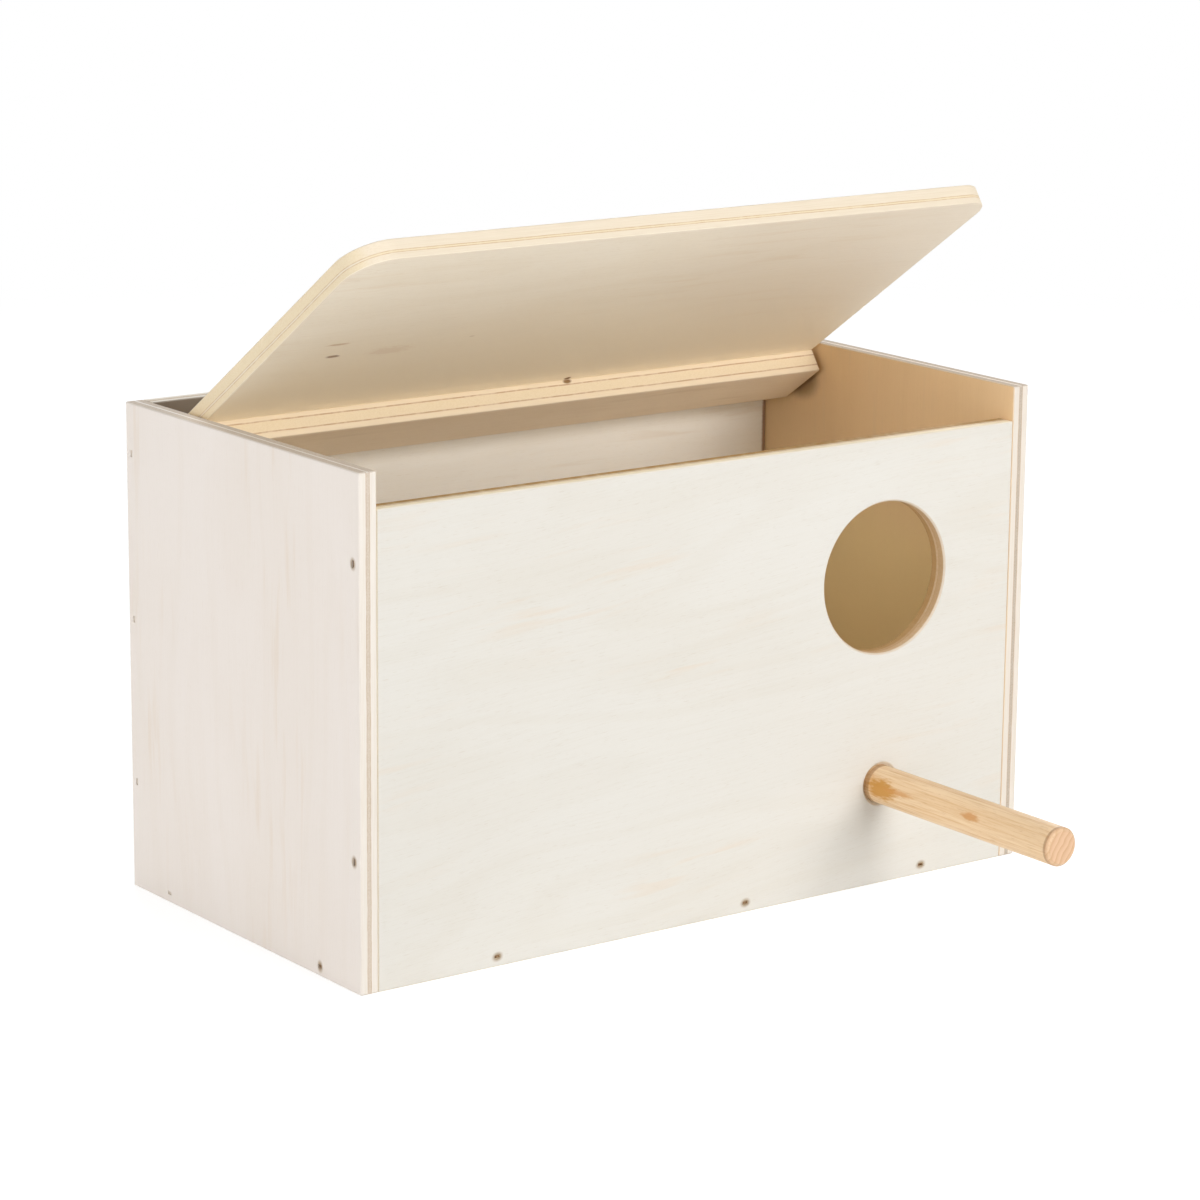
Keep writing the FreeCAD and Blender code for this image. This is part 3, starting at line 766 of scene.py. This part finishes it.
# %% Dress the lid
# Painted light: the lid's underside paler and warmer towards the hinge.
painted_warm_light_by_hinge = Mark(centre=(0.0, 62.0, INNER_FACE), reach=(260.0, 104.0, 3.0), ragged=0.05,
                     strength=0.9, stain=(255, 242, 218))
# Painted shade: the lid's underside darker towards the right corner of its free edge.
painted_shade_corner = Mark(centre=(100.0, -44.0, INNER_FACE), reach=(120.0, 74.0, 3.0), ragged=0.05,
                     strength=0.35, stain=(226, 210, 190))
nick = Mark(centre=(-92.3, 0.5, INNER_FACE), reach=(3.2, 1.1, 1.5), ragged=0.9, strength=0.75,
            stain=(140, 98, 56))
golden_line = Mark(centre=(-94.5, -8.0, INNER_FACE), reach=(5.0, 0.8, 1.5), ragged=0.9,
                   strength=0.5, stain=(196, 154, 100))
rosy_patch = Mark(centre=(-72.0, 0.5, INNER_FACE), reach=(9.0, 3.4, 1.5), ragged=1.6,
                  strength=0.16, stain=(206, 158, 120))
lid_knot = Mark(centre=(16.5, 40.0, -3.3), reach=(1.6, 1.3, 1.0), ragged=0.6, strength=0.9,
                stain=(138, 96, 40))
batten_knot = Mark(centre=(16.5, -10.4, 3.0), reach=(2.2, 2.0, 1.0), ragged=0.6, strength=0.9,
                   stain=(138, 96, 40))

plywood("lid_plywood", "lid_board", ALONG_WIDTH, seed=21.0, outer=(238, 230, 216),
        inner=(252, 242, 224), edge=(240, 226, 204), cut=(240, 222, 186), glue=(212, 180, 136),
        figure=0.36, streak=(236, 214, 184), core=(-0.8, 0.35),
        marks=(painted_warm_light_by_hinge, painted_shade_corner, nick, golden_line, rosy_patch, lid_knot))
plywood("batten_plywood", "lid_batten", ALONG_WIDTH, seed=25.0, outer=(248, 232, 208),
        inner=(250, 232, 208), edge=(248, 230, 202), figure=0.4, core=(0.15, 1.8),
        cut=(246, 228, 196), glue=(208, 174, 138), glue_line=0.3, edge_marks=(batten_knot,))
print("the lid and its batten are dressed")

# %% [markdown]
# ## The perch
# The perch is a turned dowel of a yellower wood. Its rings are much larger than the dowel, so they
# run as long lines down its sides and as arcs over its end. Measuring each point's distance from
# the far-off centre of the tree gives both at once. Resin stains sit in the wood: a large amber
# one where it enters the front panel, and a small knot past the middle. A thin ring of painted
# shade runs round the dowel where it enters the panel, and a thin dark ring runs round it close to
# its tip.

# %% Dress the perch
TREE_CENTRE = (0.0, 19.0, -12.0)
RING_WIDTH = 1.9
RING_WANDER_SIZE = (60.0, 7.0, 7.0)
RING_WANDER = 3.0
RING_SHARPNESS = 2.2
DOWEL_FIBRE_SIZE = (17.0, 0.5, 0.5)
DOWEL_PORE_SIZE = (4.5, 0.3, 0.3)
EARLY_WOOD = tone(239, 210, 172)
LATE_WOOD = tone(216, 174, 122)
DOWEL_FIBRE_TONE = tone(208, 162, 106)
DOWEL_PORE_TONE = tone(184, 134, 84)
LATE_WOOD_STRENGTH = 0.45
DOWEL_FIBRE_CUT = (0.4, 0.7)
DOWEL_FIBRE_STRENGTH = 0.5
DOWEL_PORE_CUT = (0.62, 0.74)
DOWEL_PORE_STRENGTH = 0.35
END_EARLY = tone(228, 190, 154)
END_LATE = tone(212, 166, 126)
RUBBED_TONE = tone(170, 112, 66)
DOWEL_FIBRE_RELIEF = 0.06
DOWEL_PORE_RELIEF = 0.05
DOWEL_BUMP = 0.6
DOWEL_SHINE = (0.48, 0.66)


def rings_of(tree, place, seed):
    """Growth rings round the far-off centre of the tree, sharper on one side as rings are."""
    from_centre = vector_calc(tree, "SUBTRACT", place, TREE_CENTRE)
    crosswise = vector_calc(tree, "MULTIPLY", from_centre, (0.0, 1.0, 1.0))
    radius = add(tree, "VectorMath", {0: crosswise}, operation="LENGTH").outputs["Value"]
    wobble = calc(tree, "MULTIPLY", grains(tree, place, RING_WANDER_SIZE, seed), RING_WANDER)
    count = calc(tree, "DIVIDE", calc(tree, "ADD", radius, wobble), RING_WIDTH)
    return calc(tree, "POWER", calc(tree, "FRACT", count), RING_SHARPNESS)


def perch_marks(low, high):
    """Resin, a ring of painted shade at the root and a dark ring near the tip, placed from the
    front panel's face and from the dowel's tip.
    """
    panel_low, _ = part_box("front_panel")
    root = (low.y + high.y) / 2 * MM - panel_low.y * MM
    tip = (high.y - low.y) / 2 * MM
    amber_root = Mark(centre=(root + 7.0, -5.2, 0.6), reach=(9.0, 5.0, 4.2), ragged=0.9,
                      strength=0.95, stain=(200, 142, 58))
    amber_tail = Mark(centre=(root + 15.0, -5.4, 1.4), reach=(9.0, 3.0, 1.1), ragged=0.8,
                      strength=0.65, stain=(205, 142, 70))
    knot = Mark(centre=(root + 49.0, -5.0, 1.8), reach=(5.0, 3.0, 1.8), ragged=0.9,
                strength=0.75, stain=(204, 140, 70))
    # Painted shade: a dark ring round the dowel where it enters the panel.
    painted_shade_at_root = Mark(centre=(root + 0.4, 0.0, 0.0), reach=(1.3, 90.0, 90.0), ragged=0.1,
                     strength=0.6, stain=(150, 100, 52))
    tip_ring = Mark(centre=(tip - 1.3, 0.0, 0.0), reach=(0.9, 90.0, 90.0), ragged=0.1,
                    strength=0.55, stain=(150, 96, 54))
    return amber_root, amber_tail, knot, painted_shade_at_root, tip_ring


def dowel_wood(name, node, grain, seed):
    """Make the perch's material and put it on."""
    low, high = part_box(node)
    material, tree, shader = start_material(name)
    where = use(tree, place_group, Grain=grain, Across=(1.0, 0.0, 0.0), Outward=(0.0, 0.0, 1.0),
                Middle=(low + high) / 2)
    place = where["Place"]
    ring = rings_of(tree, place, seed)
    fibre = grains(tree, place, DOWEL_FIBRE_SIZE, seed, detail=4.0, roughness=0.6)
    pore = soft_step(tree, grains(tree, place, DOWEL_PORE_SIZE, seed, detail=1.0),
                     *DOWEL_PORE_CUT)
    late = calc(tree, "MULTIPLY", ring, LATE_WOOD_STRENGTH)
    colour = blend(tree, late, EARLY_WOOD, LATE_WOOD)
    thread = calc(tree, "MULTIPLY", soft_step(tree, fibre, *DOWEL_FIBRE_CUT),
                  DOWEL_FIBRE_STRENGTH)
    colour = blend(tree, thread, colour, DOWEL_FIBRE_TONE)
    open_pore = calc(tree, "MULTIPLY", pore, DOWEL_PORE_STRENGTH)
    colour = blend(tree, open_pore, colour, DOWEL_PORE_TONE)
    colour = add_marks(tree, colour, place, perch_marks(low, high))
    end_colour = blend(tree, ring, END_EARLY, END_LATE)
    colour = blend(tree, where["Cut Fibres"], colour, end_colour)
    arris = use(tree, arris_group, Place=place, Seed=seed, Radius=ARRIS_RADIUS)
    worn = calc(tree, "MULTIPLY", arris["Worn"], ARRIS_STRENGTH)
    colour = blend(tree, worn, colour, RUBBED_TONE)

    height = calc(tree, "SUBTRACT", calc(tree, "MULTIPLY", fibre, DOWEL_FIBRE_RELIEF),
                  calc(tree, "MULTIPLY", pore, DOWEL_PORE_RELIEF))
    bump = add(tree, "Bump", {"Height": height, "Strength": DOWEL_BUMP, "Distance": RELIEF})
    tree.links.new(colour, shader.inputs["Base Color"])
    tree.links.new(blend_values(tree, fibre, *DOWEL_SHINE), shader.inputs["Roughness"])
    tree.links.new(bump.outputs[0], shader.inputs["Normal"])
    dress(node, material)
    return material


dowel_wood("perch_wood", "perch_dowel", (0.0, -1.0, 0.0), seed=4.0)
print("the perch is dressed")

# %% [markdown]
# ## Wire: brads and hinge pins
# Brads are cut from dull drawn wire and sit in their holes, where dirt and a little rust turn
# them brown, as they do the wood close round them. Towards the back the holes are filled with
# pale sanding dust, so that only faint dents show there. The hinge pins are the same wire, brighter
# and half as tarnished. One group draws the fine lines of the drawing die and the
# patches of tarnish for both.

# %% Dress the wire
TARNISH_SIZE = (0.8, 0.8, 0.8)
TARNISH_CUT = (0.35, 0.65)
DRAWN_SIZE = (6.0, 0.12, 0.12)
DRAWN_RELIEF = 0.012
WIRE_SHINE = (0.32, 0.75)
WIRE_BUMP = 0.5
WIRE_METAL = 0.85
DUST_BLUR = 10.0


def make_wire_group():
    """Tarnish patches and drawing lines on wire."""
    tree, given, result = new_group(
        "drawn_wire", [("Place", "vector"), ("Bright", "colour"), ("Tarnish", "colour"),
                       ("Dullness", "value")],
        [("Colour", "colour"), ("Height", "value"), ("Roughness", "value")])
    patch = grains(tree, given["Place"], TARNISH_SIZE, 1.0, detail=4.0, roughness=0.65)
    drawn = grains(tree, given["Place"], DRAWN_SIZE, 7.0, detail=2.0)
    dull = calc(tree, "MULTIPLY", soft_step(tree, patch, *TARNISH_CUT), given["Dullness"])
    give(tree, result, Colour=blend(tree, dull, given["Bright"], given["Tarnish"]),
         Height=calc(tree, "MULTIPLY", drawn, DRAWN_RELIEF),
         Roughness=blend_values(tree, dull, *WIRE_SHINE))
    return tree


wire_group = make_wire_group()


def wire(name, nodes, bright, tarnish, dullness, dust=None):
    """Make a wire material and put it on some nodes. Dust covers it in the rear half."""
    material, tree, shader = start_material(name)
    place = vector_calc(tree, "MULTIPLY", add(tree, "TexCoord").outputs["Object"], (MM, MM, MM))
    drawn = use(tree, wire_group, Place=place, Bright=tone(*bright), Tarnish=tone(*tarnish),
                Dullness=dullness)
    bump = add(tree, "Bump", {"Height": drawn["Height"], "Strength": WIRE_BUMP,
                              "Distance": RELIEF})
    shader.inputs["Metallic"].default_value = WIRE_METAL
    colour = drawn["Colour"]
    if dust:
        towards_back = add(tree, "SeparateXYZ", {0: place}).outputs[1]
        dusty = soft_step(tree, towards_back, -DUST_BLUR, DUST_BLUR)
        colour = blend(tree, dusty, colour, tone(*dust))
        tree.links.new(blend_values(tree, dusty, WIRE_METAL, 0.0), shader.inputs["Metallic"])
    tree.links.new(colour, shader.inputs["Base Color"])
    tree.links.new(drawn["Roughness"], shader.inputs["Roughness"])
    tree.links.new(bump.outputs[0], shader.inputs["Normal"])
    for node in nodes:
        dress(node, material)
    return material


brad_nodes = sorted(node for node in frame["nodes"] if node.endswith("_brads"))
pin_nodes = sorted(node for node in frame["nodes"] if node.endswith("_hinge_pin"))
wire("brad_steel", brad_nodes, (160, 134, 104), (106, 74, 46), 1.0, dust=(226, 215, 202))
wire("pin_steel", pin_nodes, (196, 194, 190), (142, 132, 120), 0.5)
print("wire on", len(brad_nodes) + len(pin_nodes), "nodes")

# %% [markdown]
# ## Floor and background
# The box stands on plain white board that runs on until it is out of sight. Lighting the board
# until it turns white would bleach the pale wood too. Instead the board looks a little
# self-lit, but only to rays that come straight from the viewer or by way of a mirror or glass.
# The wood still gets the plain light of a matt floor. Close to the box the board keeps the soft
# shadow, and further out it fades into plain white, so that no horizon shows in low views.

# %% Build the floor
FLOOR_HALF = 6.0
FLOOR_SHADE = 0.94
MOTTLE_DEPTH = 0.01
SEEN_SHADE = 0.45
SEEN_GLOW = 0.72
SHADOW_NEAR = 0.4
SHADOW_FAR = 1.2
WHITE = (1.0, 1.0, 1.0, 1.0)


def grey(level):
    """A neutral colour in linear numbers."""
    return (level, level, level, 1.0)


def seen_rays(tree):
    """1 for rays from the camera, a mirror or glass, and 0 for the light that falls on things."""
    rays = add(tree, "LightPath").outputs
    either = calc(tree, "MAXIMUM", rays["Is Camera Ray"], rays["Is Glossy Ray"])
    return calc(tree, "MAXIMUM", either, rays["Is Transmission Ray"])


def floor_material():
    """Matt white board that looks white to the viewer and keeps shadows."""
    material = bpy.data.materials.new("white_board")
    material.use_nodes = True
    tree = material.node_tree
    tree.nodes.clear()
    mottle = add(tree, "TexNoise", {"Scale": 3.0, "Detail": 3.0}).outputs[0]
    shade = blend(tree, mottle, grey(FLOOR_SHADE), grey(FLOOR_SHADE + MOTTLE_DEPTH))
    matt = add(tree, "BsdfDiffuse", {"Color": shade})
    shadow = add(tree, "BsdfDiffuse", {"Color": grey(SEEN_SHADE)})
    glow = add(tree, "Emission", {"Color": WHITE, "Strength": SEEN_GLOW})
    near = add(tree, "AddShader", {0: shadow.outputs[0], 1: glow.outputs[0]})
    white = add(tree, "Emission", {"Color": WHITE, "Strength": 1.0})
    here = add(tree, "TexCoord").outputs["Object"]
    reach = add(tree, "VectorMath", {0: here}, operation="LENGTH").outputs["Value"]
    seen = add(tree, "MixShader", {0: soft_step(tree, reach, SHADOW_NEAR, SHADOW_FAR),
                                   1: near.outputs[0], 2: white.outputs[0]})
    either = add(tree, "MixShader", {0: seen_rays(tree), 1: matt.outputs[0], 2: seen.outputs[0]})
    output = add(tree, "OutputMaterial")
    tree.links.new(either.outputs[0], output.inputs["Surface"])
    return material


def make_floor():
    """A large flat board under the nest box."""
    mesh = bpy.data.meshes.new("white_board")
    shape = bmesh.new()
    bmesh.ops.create_grid(shape, x_segments=8, y_segments=8, size=FLOOR_HALF)
    shape.to_mesh(mesh)
    shape.free()
    board = bpy.data.objects.new("white_board", mesh)
    board.data.materials.append(floor_material())
    bpy.context.scene.collection.objects.link(board)
    return board


make_floor()
print("floor reaches", FLOOR_HALF, "m each way")

# %% [markdown]
# ## Soft studio light
# Pale wood needs light from all round, or its shaded side goes muddy. A dim white surround fills
# every corner. Four large soft lamps do the rest. The front one stands a little to the right, makes
# the faint shadow left of the perch and reaches under the open lid. The others light the left
# side, the top and the back. Their level is set so that a colour comes out about as it was
# written.

# %% Light the box
SURROUND_LEVEL = 0.2
SURROUND_TINT = (1.0, 0.995, 0.985, 1.0)


def make_surround():
    """A white world: soft light on the box, plain white to the viewer."""
    world = bpy.data.worlds.new("surround")
    bpy.context.scene.world = world
    world.use_nodes = True
    tree = world.node_tree
    tree.nodes.clear()
    light = add(tree, "Background", {"Color": SURROUND_TINT, "Strength": SURROUND_LEVEL})
    backdrop = add(tree, "Background", {"Color": WHITE, "Strength": 1.0})
    either = add(tree, "MixShader", {0: seen_rays(tree), 1: light.outputs[0],
                                     2: backdrop.outputs[0]})
    output = add(tree, "OutputWorld")
    tree.links.new(either.outputs[0], output.inputs["Surface"])


def soft_lamp(name, place, size, watts, colour=(1.0, 1.0, 1.0)):
    """A square soft lamp that looks at the middle of the box."""
    data = bpy.data.lights.new(name, "AREA")
    data.size = size
    data.energy = watts
    data.color = colour
    lamp = bpy.data.objects.new(name, data)
    lamp.location = footprint_middle + Vector(place)
    target = footprint_middle + Vector((0.0, 0.0, AIM_HEIGHT))
    lamp.rotation_mode = "QUATERNION"
    lamp.rotation_quaternion = (target - lamp.location).to_track_quat("-Z", "Y")
    bpy.context.scene.collection.objects.link(lamp)
    return lamp


make_surround()
soft_lamp("front_lamp", (0.5, -2.0, 0.78), size=1.0, watts=26.5, colour=(1.0, 0.994, 0.985))
soft_lamp("left_lamp", (-2.05, -0.3, 0.42), size=1.2, watts=23.0)
soft_lamp("top_lamp", (0.1, -0.5, 2.4), size=1.6, watts=12.0)
soft_lamp("back_lamp", (1.3, 1.9, 1.2), size=1.6, watts=34.0)
bpy.context.scene.view_settings.view_transform = "Standard"
